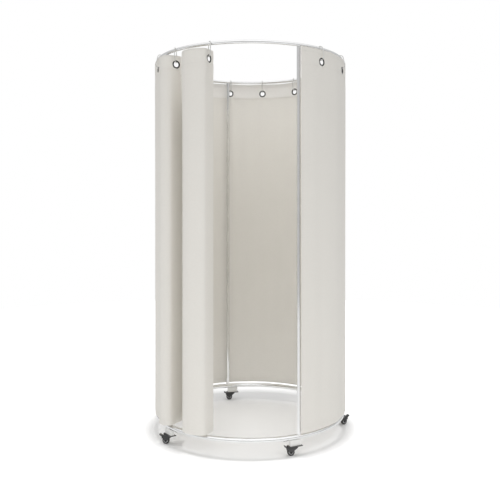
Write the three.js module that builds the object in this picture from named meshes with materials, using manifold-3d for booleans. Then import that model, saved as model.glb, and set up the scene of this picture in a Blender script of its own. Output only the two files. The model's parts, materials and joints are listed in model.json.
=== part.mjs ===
// Portable fitting room
//
// A round curtain hangs from wire loops on a top ring tube. Four posts hold the top ring over a base ring.
// The base ring lies in saddles on four braked swivel casters. The doorway is the stretch of the circle
// where the curtain is pushed aside into pleats.
//
// The floor is z = 0, the doorway faces -Y, and +X is to the right of it. Lengths are in millimetres.
// Angles are in degrees about +Z, counted from the doorway side (-Y) towards +X.

import * as THREE from 'three';
import { mergeVertices } from 'three/addons/utils/BufferGeometryUtils.js';
import Module from 'manifold-3d';

// Clearances
const seatGap = 0.3;
const runGap = 0.3;
const hangGap = 0.8;
const slideGap = 1.3;
const eyeletGap = 2.5;
const weldDistance = 0.0005;

// Ring tubes and posts
const ringRadius = 487;
const bendStepAngle = 7.5;
const tubeSides = 10;
const tubeWall = 1.2;
const baseTubeRadius = 12.5;
const topTubeRadius = 8;
const topTubeHeight = 1924;
const seamBesidePost = 12;
const spigotLength = 25;
const spigotWall = 1;
const neckLength = 3;
const neckInset = 1;
const postRadius = 9.5;
const postSides = 10;
const plugLength = 20;
const studRadius = 4;
const studBoreRadius = 2.5;
const studReach = 4;

// Casters: the trail is the direction in which the wheel hangs back, counted from +X towards +Y
const corners = [
  { name: 'front_right', post: 28, caster: 25.5, trail: 188 },
  { name: 'right', post: 92.8, caster: 90, trail: 30 },
  { name: 'back_left', post: 196, caster: 192.7, trail: 180 },
  { name: 'front_left', post: 303, caster: 306, trail: 172 },
];
const saddleLength = 56;
const saddleInset = 3;
const saddleFloor = 24.4;
const saddleOpening = 9.5;
const saddleBevel = 3;
const plateLength = 68;
const plateWidth = 34;
const plateThickness = 3;
const pegRadius = 2.5;
const pegSpread = 24;
const pinRadius = 4;
const pinHeadRadius = 6.5;
const pinHeadThickness = 2;
const pinHeadRoom = 1;
const forkPlateThickness = 4.7;
const forkFront = 13;
const cheekThickness = 2;
const cheekRoom = 1.5;
const cheekSegments = 5;
const bossRadius = 6;
const trailLength = 19;
const tyreRadius = 17.5;
const tyreWidth = 15;
const tyreSides = 20;
const tyreShoulder = 2;
const tyreRoom = 4;
const rubberThickness = 5.5;
const hubWidth = 14;
const hubRimWidth = 3;
const hubWebWidth = 6;
const hubBossRadius = 5.5;
const hubSides = 10;
const axleRadius = 2.5;
const axleHeadRadius = 4;
const axleHeadThickness = 1.2;
const pedalBehindAxle = 14;
const pedalOverTyre = 1;
const pedalPinRadius = 1.8;
const earRadius = 4;
const pedalTipBehind = 18;
const pedalTipRise = 11;
const pedalThickness = 3;
const shoeDrop = 9.4;

// Curtain
const clothThickness = 1.5;
const clothDrop = 9;
const foldSag = 14;
const hemClearance = 4;
const clothStepAngle = 6;
const headerDepth = 84;
const headerThickness = 0.8;
const panelEdgeAngles = [28.5, 110, 205, 296];
const panelNames = ['right', 'back', 'left'];
const clothSeamAngle = 0.02;
const eyeletDrop = 57;
const eyeletRadius = 20;
const eyeletHoleRadius = 13;
const eyeletNeckRadius = 15;
const eyeletFlange = 1;
const eyeletSides = 14;
const eyeletAngles = [43.5, 69.5, 95.6, 121.6, 147.6, 171.2, 193.9, 217.5, 240.8, 264, 292.5];

// Pleats of the pushed-back curtain, in plan: each runs along its bends and ends in a flat stretch.
// A bend lies at an angle from the doorway side and at a share of the cloth's radius.
const foldPoints = 16;
const pleats = [
  {
    name: 'mid',
    bends: [
      { turn: 296.07, share: 0.9997 },
      { turn: 299.03, share: 1.0399 },
      { turn: 302.55, share: 1.0644 },
      { turn: 306.00, share: 1.0595 },
      { turn: 308.56, share: 1.0360 },
      { turn: 310.00, share: 0.9986 },
    ],
    end: { turn: 311.08, share: 0.9006 },
  },
  {
    name: 'lead',
    bends: [
      { turn: 311.10, share: 0.8974 },
      { turn: 311.85, share: 0.8885 },
      { turn: 313.09, share: 0.8940 },
      { turn: 314.96, share: 0.9267 },
      { turn: 316.98, share: 0.9642 },
      { turn: 320.02, share: 1.0114 },
      { turn: 323.35, share: 1.0484 },
      { turn: 326.82, share: 1.0612 },
      { turn: 330.69, share: 1.0553 },
      { turn: 334.08, share: 1.0376 },
      { turn: 335.65, share: 1.0078 },
    ],
    end: { turn: 336.37, share: 0.8918 },
  },
];

// Curtain loops
const wireRadius = 2;
const wireSides = 5;
const loopHalfWidth = 18;
const loopSides = 14;

// Fits of the casters, from the floor up
const forkTop = 2 * tyreRadius + tyreRoom + forkPlateThickness;
const forkHalfWidth = tyreWidth / 2 + cheekRoom + cheekThickness;
const hubRadius = tyreRadius - rubberThickness - seatGap;
const pedalReach = trailLength + pedalBehindAxle;
const pedalHeight = 2 * tyreRadius + pedalOverTyre;
const pedalTipReach = pedalReach + pedalTipBehind;
const pedalTipHeight = pedalHeight + pedalTipRise;
const shoeReach = trailLength + tyreRadius;
const shoeHeight = pedalHeight - shoeDrop;
const plateBottom = forkTop + runGap;
const plateTop = plateBottom + plateThickness;
const pinHeadBottom = plateTop + runGap;
const saddleBottom = plateTop + seatGap;

// Fits of the rings and the curtain
const baseTubeHeight = saddleBottom + saddleFloor + seatGap + baseTubeRadius;
const saddleTop = baseTubeHeight - saddleOpening;
const saddleWidth = 2 * (baseTubeRadius - saddleInset);
const clothHem = baseTubeHeight + baseTubeRadius + hemClearance;
const clothTop = topTubeHeight - clothDrop;
const foldTop = clothTop - foldSag;
const clothRadius = ringRadius + postRadius + seatGap + eyeletFlange + headerThickness + clothThickness / 2;
const eyeletHeight = clothTop - eyeletDrop;
const loopWireHeight = eyeletHeight + eyeletHoleRadius - eyeletGap - wireRadius;

const upward = new THREE.Vector3(0, 0, 1);

const wasm = await Module();
wasm.setup();

// Surfaces
const finishes = {
  tube: { color: 0xc4c6c8, roughness: 0.22, metalness: 1 },
  saddle: { color: 0xe4e4e0, roughness: 0.5, metalness: 0 },
  black: { color: 0x1b1b1d, roughness: 0.45, metalness: 0.2 },
  zinc: { color: 0xb9bbbb, roughness: 0.38, metalness: 1 },
  tyre: { color: 0x151515, roughness: 0.75, metalness: 0 },
  hub: { color: 0xb4b6b8, roughness: 0.5, metalness: 0 },
  cloth: { color: 0xe6e2da, roughness: 0.9, metalness: 0 },
  eyelet: { color: 0x4a4a4c, roughness: 0.35, metalness: 1 },
  loop: { color: 0xd4d4d2, roughness: 0.45, metalness: 0 },
};

/** Point at a radius from the ring axis. */
function around(radius, angle, height) {
  const turn = THREE.MathUtils.degToRad(angle);
  return new THREE.Vector3(radius * Math.sin(turn), -radius * Math.cos(turn), height);
}

/** Corners of a regular outline about the origin. */
function ringOutline(radius, sides) {
  const outline = [];
  for (let side = 0; side < sides; side += 1) {
    const turn = (2 * Math.PI * side) / sides;
    outline.push(new THREE.Vector2(radius * Math.cos(turn), radius * Math.sin(turn)));
  }
  return outline;
}

/** Closed body of a geometry, with joined corners and its faces turned outwards. */
function bodyOf(geometry) {
  const bare = geometry.clone();
  bare.deleteAttribute('normal');
  bare.deleteAttribute('uv');
  const welded = mergeVertices(bare, weldDistance);
  const positions = new Float32Array(welded.attributes.position.array);
  const corner = (index) => new THREE.Vector3().fromArray(positions, 3 * index);
  const faces = [];
  let volume = 0;
  for (let at = 0; at < welded.index.count; at += 3) {
    const [a, b, c] = welded.index.array.slice(at, at + 3);
    if (a !== b && b !== c && c !== a) {
      faces.push([a, b, c]);
      volume += corner(a).dot(corner(b).cross(corner(c)));
    }
  }
  const turned = volume < 0 ? faces.map(([a, b, c]) => [a, c, b]) : faces;
  const mesh = new wasm.Mesh({
    numProp: 3,
    vertProperties: positions,
    triVerts: new Uint32Array(turned.flat()),
  });
  return new wasm.Manifold(mesh);
}

/** Geometry of a closed body. */
function geometryOf(body) {
  const mesh = body.getMesh();
  const geometry = new THREE.BufferGeometry();
  geometry.setAttribute('position', new THREE.BufferAttribute(new Float32Array(mesh.vertProperties), 3));
  geometry.setIndex(new THREE.BufferAttribute(new Uint32Array(mesh.triVerts), 1));
  geometry.computeVertexNormals();
  return geometry;
}

/** Circle about the ring axis, between two angles. */
class RingCurve extends THREE.Curve {
  constructor(height, from, to) {
    super();
    this.height = height;
    this.from = from;
    this.to = to;
  }

  getPoint(share, target = new THREE.Vector3()) {
    return target.copy(around(ringRadius, THREE.MathUtils.lerp(this.from, this.to, share), this.height));
  }

  getTangent(share, target = new THREE.Vector3()) {
    const turn = THREE.MathUtils.degToRad(THREE.MathUtils.lerp(this.from, this.to, share));
    return target.set(Math.cos(turn), Math.sin(turn), 0);
  }
}

/** Tube along a curve. Without a bore it is a solid bar. */
function tubeAlong(curve, steps, radius, boreRadius) {
  const section = new THREE.Shape(ringOutline(radius, tubeSides));
  if (boreRadius > 0) {
    section.holes.push(new THREE.Path(ringOutline(boreRadius, tubeSides)));
  }
  return bodyOf(new THREE.ExtrudeGeometry(section, { steps, extrudePath: curve }));
}

/** Body of a closed profile turned about the Y axis. Its points are [radius, height along the axis]. */
function turnedAcross(profile, sides, startTurn = 0) {
  const points = [...profile, profile[0]].map(([radius, along]) => new THREE.Vector2(radius, along));
  return bodyOf(new THREE.LatheGeometry(points, sides, startTurn));
}

/** The same, about the Z axis. */
function turnedUpright(profile, sides) {
  const points = [...profile, profile[0]].map(([radius, along]) => new THREE.Vector2(radius, along));
  return bodyOf(new THREE.LatheGeometry(points, sides).rotateX(Math.PI / 2));
}

/** Upright round bar between two heights. */
function uprightBar(radius, bottom, top, sides, x = 0, y = 0) {
  const bar = new THREE.CylinderGeometry(radius, radius, top - bottom, sides);
  return bodyOf(bar.rotateX(Math.PI / 2).translate(x, y, (top + bottom) / 2));
}

/** Round bar across the caster, along Y. */
function crossBar(radius, halfLength, sides, x, z) {
  const bar = new THREE.CylinderGeometry(radius, radius, 2 * halfLength, sides);
  return bodyOf(bar.translate(x, 0, z));
}

/** Plate with an outline in X and Z, between two positions along Y. */
function slab(shape, from, to) {
  const settings = { depth: to - from, bevelEnabled: false, curveSegments: cheekSegments };
  const plate = new THREE.ExtrudeGeometry(shape, settings);
  return bodyOf(plate.rotateX(Math.PI / 2).translate(0, to, 0));
}

/** Wall with an outline in plan, between two heights. */
function wall(outline, bottom, top) {
  const shape = new THREE.Shape(outline);
  const upright = new THREE.ExtrudeGeometry(shape, { depth: top - bottom, bevelEnabled: false });
  return bodyOf(upright.translate(0, 0, bottom));
}

/** Joined body of a list of bodies. */
function joined(bodies) {
  return bodies.reduce((whole, body) => whole.add(body));
}

/** Body moved by a matrix. */
function placed(body, matrix) {
  return body.transform(matrix.elements);
}

/** Matrix that turns about Z and then moves to a point on the ring circle. */
function atRing(angle, turn) {
  const matrix = new THREE.Matrix4().makeRotationZ(THREE.MathUtils.degToRad(turn));
  return matrix.setPosition(around(ringRadius, angle, 0));
}

// Rings

/** Angles and number of straight stretches of a ring's arc. */
function arcSpan(index) {
  const edge = (at) => corners[at % corners.length].post + 360 * Math.floor(at / corners.length);
  const from = edge(index) + seamBesidePost + THREE.MathUtils.radToDeg(seatGap / ringRadius);
  const to = edge(index + 1) + seamBesidePost;
  return { from, to, steps: Math.ceil((to - from) / bendStepAngle) };
}

/** Solid bar that fills an arc's tube and stands out from it by a clearance. */
function arcBar(index, radius, height) {
  const span = arcSpan(index);
  return tubeAlong(new RingCurve(height, span.from, span.to), span.steps, radius, 0);
}

/** One arc of a ring: a bent tube with a spigot at its start, and a hole for the stud of a post. */
function ringArc(index, radius, height, studBottom, studTop) {
  const boreRadius = radius - tubeWall;
  const span = arcSpan(index);
  const tube = tubeAlong(new RingCurve(height, span.from, span.to), span.steps, radius, boreRadius);
  const spigotRadius = boreRadius - runGap;
  const spigotBore = spigotRadius - spigotWall;

  const before = arcSpan((index + corners.length - 1) % corners.length);
  const beforeStep = (before.to - before.from) / before.steps;
  const seam = around(ringRadius, before.to, height);
  const back = around(ringRadius, before.to - beforeStep, height).sub(seam).normalize();
  const spigotStart = seam.clone().addScaledVector(back, spigotLength);
  const spigotEnd = seam.clone().addScaledVector(back, -seatGap - neckLength);
  const spigot = tubeAlong(new THREE.LineCurve3(spigotStart, spigotEnd), 1, spigotRadius, spigotBore);

  const start = around(ringRadius, span.from, height);
  const step = (span.to - span.from) / span.steps;
  const forward = around(ringRadius, span.from + step, height).sub(start).normalize();
  const neckStart = start.clone().addScaledVector(forward, neckInset);
  const neckEnd = neckStart.clone().addScaledVector(forward, neckLength);
  const neck = tubeAlong(new THREE.LineCurve3(neckStart, neckEnd), 1, radius - tubeWall / 2, spigotBore);

  const post = around(ringRadius, corners[(index + 1) % corners.length].post, 0);
  const hole = uprightBar(studRadius + runGap, studBottom, studTop, postSides, post.x, post.y);
  return joined([tube, neck, spigot]).subtract(hole);
}

/** Post: a tube with a bored plug and stud at both ends, its foot cut to the base ring. */
function post(index) {
  const corner = corners[index];
  const foot = baseTubeHeight + baseTubeRadius;
  const top = topTubeHeight - topTubeRadius - seatGap;
  const inner = postRadius - tubeWall;
  const tube = turnedUpright([
    [postRadius, baseTubeHeight],
    [postRadius, top],
    [studRadius, top],
    [studRadius, top + topTubeRadius + studReach],
    [studBoreRadius, top + topTubeRadius + studReach],
    [studBoreRadius, top - plugLength],
    [inner, top - plugLength],
    [inner, foot + plugLength],
    [studBoreRadius, foot + plugLength],
    [studBoreRadius, baseTubeHeight],
  ], postSides);
  const stud = turnedUpright([
    [studRadius, baseTubeHeight - studReach],
    [studRadius, foot + studReach],
    [studBoreRadius, foot + studReach],
    [studBoreRadius, baseTubeHeight - studReach],
  ], postSides);
  const place = atRing(corner.post, corner.post);
  const before = (index + corners.length - 1) % corners.length;
  const saddle = arcBar(before, baseTubeRadius + seatGap, baseTubeHeight);
  return placed(tube, place).subtract(saddle).add(placed(stud, place));
}

// Casters

/** Saddle under the base ring, with two pegs that go down into the caster plate. */
function casterSaddle(index) {
  const corner = corners[index];
  const half = saddleLength / 2;
  const outline = new THREE.Shape([
    new THREE.Vector2(-half, saddleBottom),
    new THREE.Vector2(half, saddleBottom),
    new THREE.Vector2(half, saddleTop - saddleBevel),
    new THREE.Vector2(half - saddleBevel, saddleTop),
    new THREE.Vector2(saddleBevel - half, saddleTop),
    new THREE.Vector2(-half, saddleTop - saddleBevel),
  ]);
  const block = slab(outline, -saddleWidth / 2, saddleWidth / 2);
  const pegs = [-pegSpread, pegSpread].map((x) => (
    uprightBar(pegRadius, plateBottom, saddleBottom + plateThickness, postSides, x)
  ));
  const recessTop = pinHeadBottom + pinHeadThickness + pinHeadRoom;
  const recess = uprightBar(pinHeadRadius + pinHeadRoom, plateBottom, recessTop, postSides);
  const before = (index + corners.length - 1) % corners.length;
  const tube = arcBar(before, baseTubeRadius + seatGap, baseTubeHeight);
  const body = joined([block, ...pegs]).subtract(recess);
  return placed(body, atRing(corner.caster, corner.caster)).subtract(tube);
}

/** Caster plate with a bearing hole in the middle and two peg holes. */
function casterPlate(index) {
  const corner = corners[index];
  const box = new THREE.BoxGeometry(plateLength, plateWidth, plateThickness);
  const holes = [
    uprightBar(pinRadius + runGap, 0, saddleTop, postSides),
    uprightBar(pegRadius + runGap, 0, saddleTop, postSides, -pegSpread),
    uprightBar(pegRadius + runGap, 0, saddleTop, postSides, pegSpread),
  ];
  const plate = bodyOf(box.translate(0, 0, plateBottom + plateThickness / 2));
  return placed(plate.subtract(joined(holes)), atRing(corner.caster, corner.caster));
}

/** Fork: a crown plate with a headed swivel pin, and two cheeks that hold the axle and the pedal. */
function casterFork() {
  const crownBottom = forkTop - forkPlateThickness;
  const earEnd = pedalReach + earRadius;
  const cheek = new THREE.Shape();
  cheek.moveTo(-forkFront, forkTop);
  cheek.lineTo(-forkFront, crownBottom);
  cheek.absarc(trailLength, tyreRadius, bossRadius, Math.PI, 2 * Math.PI, false);
  cheek.lineTo(earEnd, pedalHeight - earRadius);
  cheek.lineTo(earEnd, forkTop - earRadius);
  cheek.lineTo(pedalReach, forkTop);
  cheek.closePath();
  const crown = new THREE.Shape([
    new THREE.Vector2(-forkFront, crownBottom),
    new THREE.Vector2(trailLength + bossRadius, crownBottom),
    new THREE.Vector2(trailLength + bossRadius, forkTop),
    new THREE.Vector2(-forkFront, forkTop),
  ]);
  const pinTop = pinHeadBottom + pinHeadThickness;
  const parts = [
    slab(crown, -forkHalfWidth, forkHalfWidth),
    slab(cheek, -forkHalfWidth, cheekThickness - forkHalfWidth),
    slab(cheek, forkHalfWidth - cheekThickness, forkHalfWidth),
    uprightBar(pinRadius, crownBottom, pinTop, postSides),
    uprightBar(pinHeadRadius, pinHeadBottom, pinTop, postSides),
  ];
  const axleHole = crossBar(axleRadius + runGap, 2 * forkHalfWidth, hubSides, trailLength, tyreRadius);
  const pedalHole = crossBar(pedalPinRadius + runGap, 2 * forkHalfWidth, hubSides, pedalReach, pedalHeight);
  return joined(parts).subtract(axleHole).subtract(pedalHole);
}

/** Axle with a rivet head outside each cheek. */
function casterAxle() {
  const end = forkHalfWidth + runGap + axleHeadThickness;
  const inner = forkHalfWidth + runGap;
  const axle = turnedAcross([
    [0, -end],
    [axleHeadRadius, -end],
    [axleHeadRadius, -inner],
    [axleRadius, -inner],
    [axleRadius, inner],
    [axleHeadRadius, inner],
    [axleHeadRadius, end],
    [0, end],
  ], hubSides);
  return axle.translate([trailLength, 0, tyreRadius]);
}

/** Wheel hub with a thin web between its boss and its rim. */
function casterHub() {
  const half = hubWidth / 2;
  const web = hubWebWidth / 2;
  const rimInside = hubRadius - hubRimWidth;
  const bore = axleRadius + runGap;
  const hub = turnedAcross([
    [bore, -half],
    [hubBossRadius, -half],
    [hubBossRadius, -web],
    [rimInside, -web],
    [rimInside, -half],
    [hubRadius, -half],
    [hubRadius, half],
    [rimInside, half],
    [rimInside, web],
    [hubBossRadius, web],
    [hubBossRadius, half],
    [bore, half],
  ], hubSides);
  return hub.translate([trailLength, 0, tyreRadius]);
}

/** Tyre. One of its flats lies on the floor. */
function casterTyre() {
  const half = tyreWidth / 2;
  const cornerRadius = tyreRadius / Math.cos(Math.PI / tyreSides);
  const inner = (hubRadius + seatGap) / Math.cos(Math.PI / tyreSides);
  const tyre = turnedAcross([
    [inner, -half],
    [cornerRadius - tyreShoulder, -half],
    [cornerRadius, tyreShoulder - half],
    [cornerRadius, half - tyreShoulder],
    [cornerRadius - tyreShoulder, half],
    [inner, half],
  ], tyreSides, Math.PI / tyreSides);
  return tyre.translate([trailLength, 0, tyreRadius]);
}

/** Brake pedal: a bent lever with a shoe behind the tyre, on its own cross pin. */
function brakePedal() {
  const half = forkHalfWidth - cheekThickness - runGap;
  const lever = new THREE.Shape([
    new THREE.Vector2(shoeReach, shoeHeight),
    new THREE.Vector2(shoeReach + pedalThickness, shoeHeight),
    new THREE.Vector2(shoeReach + pedalThickness, pedalHeight),
    new THREE.Vector2(pedalTipReach, pedalTipHeight - pedalThickness),
    new THREE.Vector2(pedalTipReach, pedalTipHeight),
    new THREE.Vector2(pedalTipReach - pedalThickness, pedalTipHeight),
    new THREE.Vector2(pedalReach + pedalThickness, pedalHeight + earRadius),
    new THREE.Vector2(pedalReach - pedalThickness, pedalHeight + pedalThickness),
    new THREE.Vector2(pedalReach - pedalThickness, pedalHeight - pedalThickness),
  ]);
  const pin = crossBar(pedalPinRadius, forkHalfWidth, hubSides, pedalReach, pedalHeight);
  return slab(lever, -half, half).add(pin);
}

// Curtain

/** Corners of a circular wall's outline in plan. */
function arcOutline(inner, outer, from, to) {
  const steps = Math.ceil((to - from) / clothStepAngle);
  const angles = Array.from({ length: steps + 1 }, (_, at) => THREE.MathUtils.lerp(from, to, at / steps));
  const flat = (radius, angle) => {
    const point = around(radius, angle, 0);
    return new THREE.Vector2(point.x, point.y);
  };
  return [
    ...angles.map((angle) => flat(outer, angle)),
    ...angles.reverse().map((angle) => flat(inner, angle)),
  ];
}

/** Matrix from a disc about Y to an eyelet's place, with the disc's axis along a direction in plan. */
function eyeletPlace(centre, direction) {
  const across = new THREE.Vector3(direction.x, direction.y, 0);
  const along = new THREE.Vector3().crossVectors(across, upward);
  const matrix = new THREE.Matrix4().makeBasis(along, across, upward);
  return matrix.setPosition(centre.x, centre.y, eyeletHeight);
}

/** Body that fills an eyelet's whole outline, or its hole. */
function eyeletDisc(radius, halfThickness) {
  return bodyOf(new THREE.CylinderGeometry(radius, radius, 2 * halfThickness, eyeletSides));
}

/** Panel of the hanging curtain, with its header band and its riveted eyelets. */
function wallPanel(index) {
  const from = panelEdgeAngles[index] + clothSeamAngle;
  const to = panelEdgeAngles[index + 1] - clothSeamAngle;
  const inner = clothRadius - clothThickness / 2;
  const outer = clothRadius + clothThickness / 2;
  const cloth = wall(arcOutline(inner, outer, from, to), clothHem, clothTop);
  const band = arcOutline(inner - headerThickness, clothRadius, from, to);
  const header = wall(band, clothTop - headerDepth, clothTop);
  const half = clothThickness / 2 + headerThickness + eyeletFlange;
  let panel = cloth.add(header);
  eyeletAngles.filter((angle) => angle > from && angle < to).forEach((angle) => {
    const place = eyeletPlace(around(clothRadius, angle, 0), around(1, angle, 0));
    panel = panel.add(placed(eyeletDisc(eyeletRadius, half), place));
    panel = panel.subtract(placed(eyeletDisc(eyeletHoleRadius, 2 * half), place));
  });
  return panel;
}

/** Point of a pleat's table, in plan. */
function bendPoint({ turn, share }) {
  return around(share * clothRadius, turn, 0);
}

/** Middle of a pleat's flat end stretch, and the direction across it. */
function pleatFlat(pleat) {
  const start = bendPoint(pleat.bends[pleat.bends.length - 1]);
  const end = bendPoint(pleat.end);
  const along = end.clone().sub(start).normalize();
  const across = new THREE.Vector3(along.y, -along.x, 0);
  return { centre: start.lerp(end, 0.5), across };
}

/** One pleat of the pushed-back curtain, with a hole for its eyelet. */
function foldPanel(pleat) {
  const bent = new THREE.CatmullRomCurve3(pleat.bends.map(bendPoint), false, 'centripetal');
  const line = bent.getPoints(foldPoints);
  line.push(bendPoint(pleat.end));
  const sides = [-1, 1].map((side) => line.map((point, at) => {
    const before = line[Math.max(at - 1, 0)];
    const after = line[Math.min(at + 1, line.length - 1)];
    const heading = after.clone().sub(before).normalize();
    const reach = (side * clothThickness) / 2;
    return new THREE.Vector2(point.x + reach * heading.y, point.y - reach * heading.x);
  }));
  const cloth = wall([...sides[0], ...sides[1].reverse()], clothHem, foldTop);
  const flat = pleatFlat(pleat);
  const hole = eyeletDisc(eyeletNeckRadius + runGap, clothThickness);
  return cloth.subtract(placed(hole, eyeletPlace(flat.centre, flat.across)));
}

/** Eyelet of a pleat: a spool with its two flanges over the cloth. */
function eyelet(pleat) {
  const inner = clothThickness / 2 + runGap;
  const outer = inner + eyeletFlange;
  const spool = turnedAcross([
    [eyeletHoleRadius, -outer],
    [eyeletRadius, -outer],
    [eyeletRadius, -inner],
    [eyeletNeckRadius, -inner],
    [eyeletNeckRadius, inner],
    [eyeletRadius, inner],
    [eyeletRadius, outer],
    [eyeletHoleRadius, outer],
  ], eyeletSides);
  const flat = pleatFlat(pleat);
  return placed(spool, eyeletPlace(flat.centre, flat.across));
}

/** Wire loop over the top ring and through an eyelet, in a plane half way between spoke and eyelet axis. */
function curtainLoop(centre, across, ringGap) {
  const spoke = new THREE.Vector3(centre.x, centre.y, 0).normalize();
  const facing = across.clone().multiplyScalar(Math.sign(across.dot(spoke)));
  const outward = facing.add(spoke).normalize();
  const lever = centre.x * outward.x + centre.y * outward.y;
  const reach = Math.sqrt(lever ** 2 - centre.x ** 2 - centre.y ** 2 + ringRadius ** 2) - lever;
  const drop = topTubeHeight - loopWireHeight;
  const overTube = topTubeRadius + ringGap + wireRadius;
  const length = Math.hypot(drop, reach) + overTube;
  const stretch = length / 2 - loopHalfWidth;

  const lean = Math.atan2(reach, drop);
  const middle = length / 2 - overTube;

  const loop = new THREE.TorusGeometry(loopHalfWidth, wireRadius, wireSides, loopSides);
  loop.rotateZ(Math.PI / loopSides);
  const positions = loop.attributes.position;
  for (let at = 0; at < positions.count; at += 1) {
    positions.setY(at, positions.getY(at) + stretch * Math.sign(positions.getY(at)));
  }
  loop.rotateZ(-lean);

  const sideways = new THREE.Vector3().crossVectors(outward, upward);
  const place = centre.clone().addScaledVector(outward, reach - middle * Math.sin(lean));
  place.setZ(topTubeHeight - middle * Math.cos(lean));
  const matrix = new THREE.Matrix4().makeBasis(outward, upward, sideways).setPosition(place);
  return placed(bodyOf(loop), matrix);
}

// The whole object

const fittingRoom = new THREE.Group();
fittingRoom.name = 'fitting_room';

/** Adds a named piece with its own finish. */
function addPiece(name, body, finish) {
  const piece = new THREE.Mesh(geometryOf(body), new THREE.MeshStandardMaterial(finishes[finish]));
  piece.name = name;
  fittingRoom.add(piece);
}

const topBottom = topTubeHeight - 2 * topTubeRadius;
const baseTop = baseTubeHeight + 2 * baseTubeRadius;
corners.forEach((corner, index) => {
  const number = index + 1;
  const topArc = ringArc(index, topTubeRadius, topTubeHeight, topBottom, topTubeHeight);
  const baseArc = ringArc(index, baseTubeRadius, baseTubeHeight, baseTubeHeight, baseTop);
  const place = atRing(corner.caster, corner.trail);
  addPiece(`top_ring_arc_${number}`, topArc, 'tube');
  addPiece(`base_ring_arc_${number}`, baseArc, 'tube');
  addPiece(`post_${corner.name}`, post(index), 'tube');
  addPiece(`caster_saddle_${corner.name}`, casterSaddle(index), 'saddle');
  addPiece(`caster_plate_${corner.name}`, casterPlate(index), 'black');
  addPiece(`caster_fork_${corner.name}`, placed(casterFork(), place), 'black');
  addPiece(`caster_axle_${corner.name}`, placed(casterAxle(), place), 'zinc');
  addPiece(`caster_hub_${corner.name}`, placed(casterHub(), place), 'hub');
  addPiece(`caster_tyre_${corner.name}`, placed(casterTyre(), place), 'tyre');
  addPiece(`brake_pedal_${corner.name}`, placed(brakePedal(), place), 'black');
});
panelNames.forEach((name, index) => addPiece(`curtain_${name}`, wallPanel(index), 'cloth'));
eyeletAngles.forEach((angle, index) => {
  const loop = curtainLoop(around(clothRadius, angle, 0), around(1, angle, 0), hangGap);
  addPiece(`curtain_loop_${index + 1}`, loop, 'loop');
});
pleats.forEach((pleat) => {
  const { centre, across } = pleatFlat(pleat);
  addPiece(`curtain_fold_${pleat.name}`, foldPanel(pleat), 'cloth');
  addPiece(`eyelet_${pleat.name}`, eyelet(pleat), 'eyelet');
  addPiece(`curtain_loop_${pleat.name}`, curtainLoop(centre, across, slideGap), 'loop');
});

export default fittingRoom;
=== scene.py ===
"""Looks of a portable fitting room: a round curtain on two tube rings, posts and braked casters."""

import json
import logging
import math
from collections.abc import Callable, Iterable
from dataclasses import dataclass, field
from enum import Enum

import bpy
from mathutils import Matrix, Vector

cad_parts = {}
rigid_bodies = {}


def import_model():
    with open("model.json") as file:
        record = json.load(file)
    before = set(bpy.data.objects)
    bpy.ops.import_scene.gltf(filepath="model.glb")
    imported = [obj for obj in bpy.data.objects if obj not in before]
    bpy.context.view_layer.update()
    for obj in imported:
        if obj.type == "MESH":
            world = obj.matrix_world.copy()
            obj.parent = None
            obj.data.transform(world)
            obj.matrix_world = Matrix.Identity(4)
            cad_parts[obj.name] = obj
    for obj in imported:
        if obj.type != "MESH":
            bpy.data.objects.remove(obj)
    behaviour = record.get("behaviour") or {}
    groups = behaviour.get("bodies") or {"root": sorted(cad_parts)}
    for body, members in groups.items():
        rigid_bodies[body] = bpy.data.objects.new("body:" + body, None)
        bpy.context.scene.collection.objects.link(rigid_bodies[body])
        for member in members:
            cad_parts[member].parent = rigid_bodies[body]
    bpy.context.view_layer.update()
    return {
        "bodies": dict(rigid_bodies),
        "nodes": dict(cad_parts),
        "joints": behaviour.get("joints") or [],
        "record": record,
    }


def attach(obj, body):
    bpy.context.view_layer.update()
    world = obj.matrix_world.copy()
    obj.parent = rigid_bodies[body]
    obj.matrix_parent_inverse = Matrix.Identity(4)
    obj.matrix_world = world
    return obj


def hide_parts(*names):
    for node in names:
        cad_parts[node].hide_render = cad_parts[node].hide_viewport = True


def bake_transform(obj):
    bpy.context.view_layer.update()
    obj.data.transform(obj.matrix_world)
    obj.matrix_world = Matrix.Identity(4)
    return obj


Piece = bpy.types.Object
Node = bpy.types.Node
Socket = bpy.types.NodeSocket
Tone = tuple[float, float, float]
Pair = tuple[float, float]
Seat = tuple[Vector, Vector]  # Centre of an eyelet in plan, and the direction through the cloth there

LOG = logging.getLogger("fitting_room")
CORNERS = ("front_right", "right", "back_left", "front_left")

# Sizes of the rings that the curtain's loops use too, in metres
RING_RADIUS = 0.487
TOP_RING_HEIGHT = 1.924
TOP_TUBE_RADIUS = 0.008

# Patterns: scales are per metre, widths and heights in metres
SLUB_SCALE = 90.0
SLUB_HEIGHT = 0.8
CLOUD_SCALE = 3.5
STITCH_HALF_WIDTH = 0.0007
GROOVE_HALF_WIDTH = 0.0013
STITCH_SHARE = 0.65
SCRATCH_SCALE = 900
SCRATCH_STRETCH = (1, 1, 0.06)
SMUDGE_SCALE = 14
DUST_SCALE = 120
DUST_HEIGHT = 0.11

# Ripples of hanging cloth, in radians per metre
LONG_RIPPLE = 31
SHORT_RIPPLE = 67


# Mesh work


def deselect() -> None:
    """Leaves edit mode and deselects every object."""
    if bpy.context.object is not None and bpy.context.object.mode != "OBJECT":
        bpy.ops.object.mode_set(mode="OBJECT")
    bpy.ops.object.select_all(action="DESELECT")


def current(name: str) -> Piece:
    """Names the active object and its mesh, and returns the object.

    Args:
        name: Name of the piece.

    Returns:
        The active object.
    """
    piece = bpy.context.object
    piece.name = name
    piece.data.name = name
    return piece


def settle(piece: Piece, matrix: Matrix | None = None) -> None:
    """Moves a piece's place into its mesh, so that the object sits at the origin.

    Args:
        piece: The piece.
        matrix: A further move that is applied after its own.
    """
    move = piece.matrix_world.copy() if matrix is None else matrix @ piece.matrix_world
    piece.data.transform(move)
    piece.matrix_world = Matrix.Identity(4)


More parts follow.
